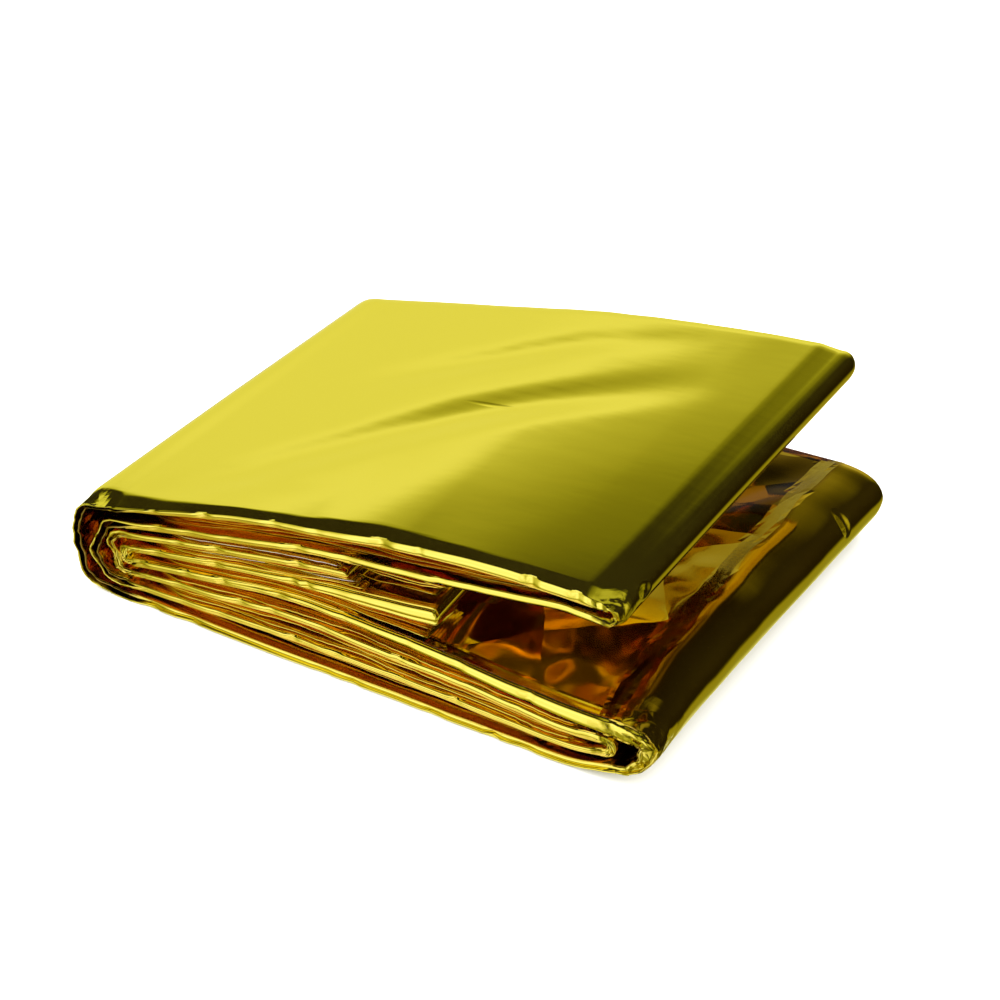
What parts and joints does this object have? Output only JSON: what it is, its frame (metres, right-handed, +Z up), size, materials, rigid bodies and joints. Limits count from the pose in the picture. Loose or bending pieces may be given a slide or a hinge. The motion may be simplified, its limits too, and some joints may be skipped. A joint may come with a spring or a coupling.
{
  "type": "emergency foil blanket",
  "caption": "Gold foil emergency blanket folded back and forth into a flat rectangular packet, its top flap lifted open at one end.",
  "frame": {"origin": "middle of the packet's footprint, on the surface it lies on", "axes": "+X along the packet from its folded spine to its open mouth, +Y from its front rim to its back rim, +Z up"},
  "size_m": [0.1316, 0.1, 0.0401],
  "materials": {
    "gold_foil": "mirror-bright gold metallised film, lightly creased"
  },
  "bodies": {
    "root": {"foil_blanket": "gold_foil"}
  },
  "joints": []
}
